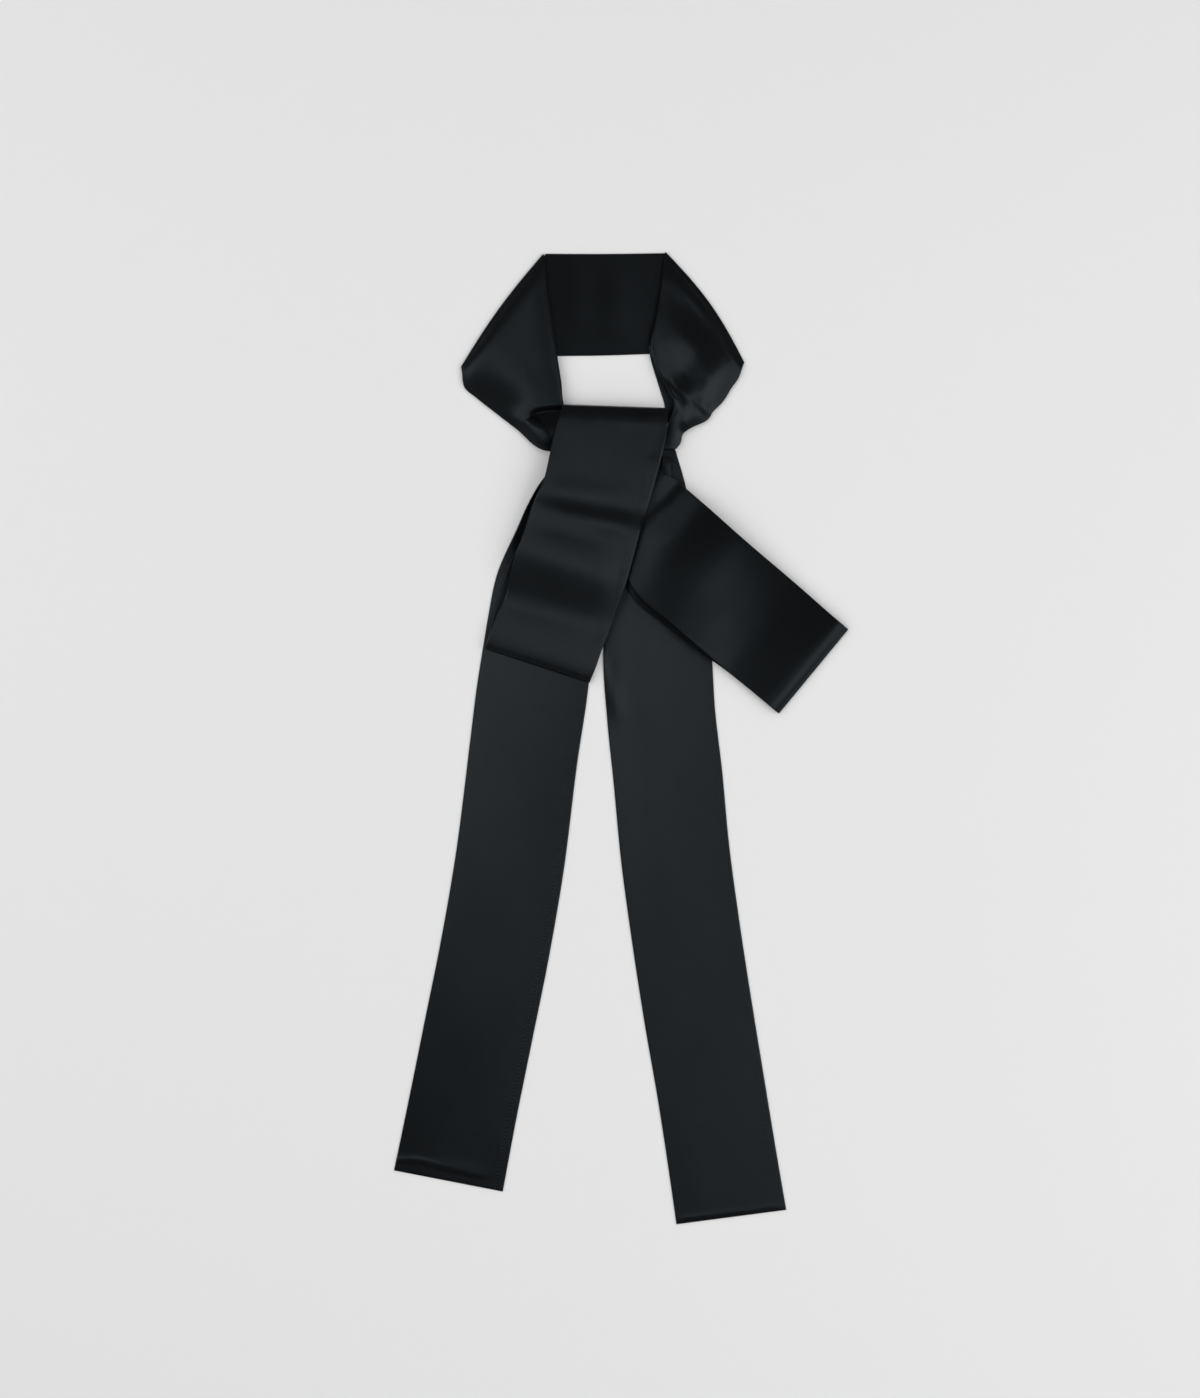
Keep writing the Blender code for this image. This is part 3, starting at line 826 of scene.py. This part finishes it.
frontTop = {
    "step": 2.4, "stepAcross": 2.2, "fine": (14, 10),
    "rows": [
        (-88.0, 60.0, 71.5, -18, 0, flatLift),
        (-85.0, 68.5, 72, -18, 0, flatLift),
        (-81.0, 80.0, 72, -17.5, 0, flatLift),
        (-73.5, 97.5, 71.5, -17, 0, flatLift),
        (-69.0, 117.5, 74, -15.5, 0, flatLift),
        (-62.0, 137.0, 72.5, -15, 0, flatLift),
        (-57.0, 152.5, 71.5, -14.5, 0, flatLift),
        (-50.0, 168.5, 70, -10.5, 0, flatLift),
        (-46.0, 185.5, 71, -7.5, 0, flatLift),
        (-42.5, 201.0, 71.5, -5, 0, flatLift),
        (-38.5, 214.5, 69, -2, 0, flatLift),
    ],
    "profile": [
        (0, (3.2, 3.2, 3.2, 3.2, 3.2)),
        (2, (3.85, 3.85, 3.85, 3.85, 3.85)),
        (5, (4.3, 4.35, 4.35, 4.35, 4.3)),
        (9, (4.55, 4.6, 4.6, 4.6, 4.55)),
        (15, (4.5, 4.55, 4.55, 4.5, 4.4)),
        (24, (4.1, 4.15, 4.15, 4.1, 4.0)),
        (34, (3.7, 3.65, 3.65, 3.7, 3.7)),
        (40, (4.4, 4.3, 4.2, 4.1, 3.9)),
        (46, (5.8, 5.7, 5.6, 5.4, 4.4)),
        (54, (7.8, 7.8, 7.7, 7.4, 5.3)),
        (61, (9.5, 9.6, 9.5, 9.0, 6.0)),
        (66, (10.5, 10.6, 10.4, 9.7, 6.4)),
        (70, (10.9, 10.9, 10.6, 9.8, 6.7)),
        (80, (11.0, 10.6, 10.2, 9.6, 7.3)),
        (88, (10.9, 10.0, 9.6, 9.3, 7.7)),
        (94, (11.0, 10.1, 9.6, 9.2, 8.0)),
        (98, (11.2, 10.2, 9.6, 8.9, 8.1)),
        (102, (11.6, 11.1, 10.4, 9.4, 8.6)),
        (106, (12.2, 12.4, 11.9, 10.8, 9.9)),
        (110, (12.6, 13.2, 13.0, 12.3, 11.2)),
        (115, (12.7, 13.3, 13.3, 12.9, 11.8)),
        (124, (12.6, 13.0, 13.0, 12.8, 12.0)),
        (150, (12.2, 12.6, 12.6, 12.4, 11.6)),
        (160, (12.0, 12.4, 12.4, 12.2, 11.4)),
        (166, (11.7, 12.1, 12.2, 12.1, 11.3)),
        (169.5, (11.2, 11.6, 11.7, 11.6, 10.9)),
        (172.1, (10.5, 10.8, 10.9, 10.8, 10.2)),
    ],
    "rolls": [(69.4, 6, 168, 1.3, 0.9), (1.5, 6, 150, 1.3, 0.3)],
    "rollReach": 2.4, "rollDrop": 6.0, "rollTurn": 180,
}
sideFold = {"reach": 2.2, "drop": 1.3, "turn": 150}  # a neck side's turn to the floor


def foldDown(points, reach, drop, lastAngle):
    # rows that turn down at the end of a grid
    away = ahead(points[-1], points[-2])
    below = points[-1] - (0, 0, drop)
    angles = np.linspace(0, lastAngle, band["turnSteps"] + 1)[1:]
    return np.concatenate([points, turnRows(points[-1], below, away, reach, angles)])


def makeStrip(name, strip, material, laid, **more):
    points, acrossAt = layStrip(strip, laid)
    twists = strip.get("twists", ())
    return makeStretch(name, points, acrossAt, material, laid, twists=twists, **more)


def makeNeckSide(name, strip, material, laid):
    # a stretch whose first end is the diagonal fold, turned down to the floor
    points, acrossAt = layStrip(strip, laid)
    top = band["halfThickness"] + sideFold["drop"]
    points[0, :, 2] = top
    points[1, :, 2] = np.maximum(points[1, :, 2], top)
    turn = sideFold["reach"], sideFold["drop"], sideFold["turn"]
    points = foldDown(points[::-1], *turn)[::-1]
    warpWay, twists = strip["warpWay"], strip.get("twists", ())
    return makeStretch(name, points, acrossAt, material, laid, warpWay=warpWay, twists=twists)


def makeLoop(name, low, top, material, laid, rollOver=False):
    # one of the bow's loops: out below, round its fold and back on top
    lowPoints, acrossAt = layStrip(low, laid)
    topPoints, acrossAt = layStrip(top, [*laid, topTree(lowPoints)])
    away = ahead(lowPoints[-1], lowPoints[-2])
    reach = (topPoints[0, :, 2:] - lowPoints[-1, :, 2:]) / 2
    angles = np.linspace(0, 180, band["foldSteps"] + 1)[1:-1]
    fold = turnRows(lowPoints[-1], topPoints[0], away, reach, angles)
    points = np.concatenate([lowPoints, fold, topPoints])
    if rollOver:
        points = foldDown(points, top["rollReach"], top["rollDrop"], top["rollTurn"])
    twists = top.get("twists", ())
    return makeStretch(name, points, acrossAt, material, laid, twists=twists)


def makeKnot(name, material, laid):
    # a rounded cushion in place of the layers that the knot hides
    bm = bmesh.new()
    bm.loops.layers.uv.new("cloth")
    bmesh.ops.create_uvsphere(
        bm, u_segments=knot["segments"], v_segments=knot["rings"], radius=1, calc_uvs=True
    )
    size = np.array([*knot["halfSize"], knot["height"]])
    full = knot["fullness"]
    points = np.array([vert.co for vert in bm.verts])
    reach = (np.abs(points) ** full).sum(axis=1) ** (1 / full)
    points = points / reach[:, None] * size + (*knot["centre"], 0)
    base = max(heightAt(x, y, laid) for x, y, z in points) + band["gap"]
    for vert, (x, y, z) in zip(bm.verts, points):
        vert.co = Vector((x, y, base + max(z, 0)))
    laid.append(treeOf(bm))
    bmesh.ops.scale(bm, vec=(mm, mm, mm), verts=bm.verts)
    return addObject(bm, name, material)


def declare(obj, node):
    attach(obj, "root")
    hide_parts(node)


setCamera()
setStudio()
plain = blackSatin("black satin")
seamed = blackSatin("black satin with a seam", hasSeam=True)
laid = []
made = {}
made["left_tail"] = makeStrip("leftTail", leftTail, seamed, laid, sewnStart=True)
made["right_tail"] = makeStrip("rightTail", rightTail, seamed, laid, sewnStart=True)
made["neck_back"] = makeStrip("neckBack", neckBack, plain, laid)
made["neck_tuck"] = makeStrip("neckTuck", neckTuck, plain, laid)
made["neck_left"] = makeNeckSide("neckLeft", neckLeft, plain, laid)
made["neck_right"] = makeNeckSide("neckRight", neckRight, plain, laid)
made["knot_strand"] = makeStrip("knotStrand", knotStrand, plain, laid)
made["knot"] = makeKnot("knotWrap", plain, laid)
made["side_loop"] = makeLoop("sideLoop", sideLow, sideTop, plain, laid)
made["front_loop"] = makeLoop("frontLoop", frontLow, frontTop, plain, laid, rollOver=True)

declare(made["left_tail"], "left_tail")
declare(made["right_tail"], "right_tail")
declare(made["neck_back"], "neck_back")
declare(made["neck_tuck"], "neck_tuck")
declare(made["neck_left"], "neck_left")
declare(made["neck_right"], "neck_right")
declare(made["knot_strand"], "knot_strand")
declare(made["knot"], "knot")
declare(made["side_loop"], "side_loop")
declare(made["front_loop"], "front_loop")
print("declared", len(made), "stretches")
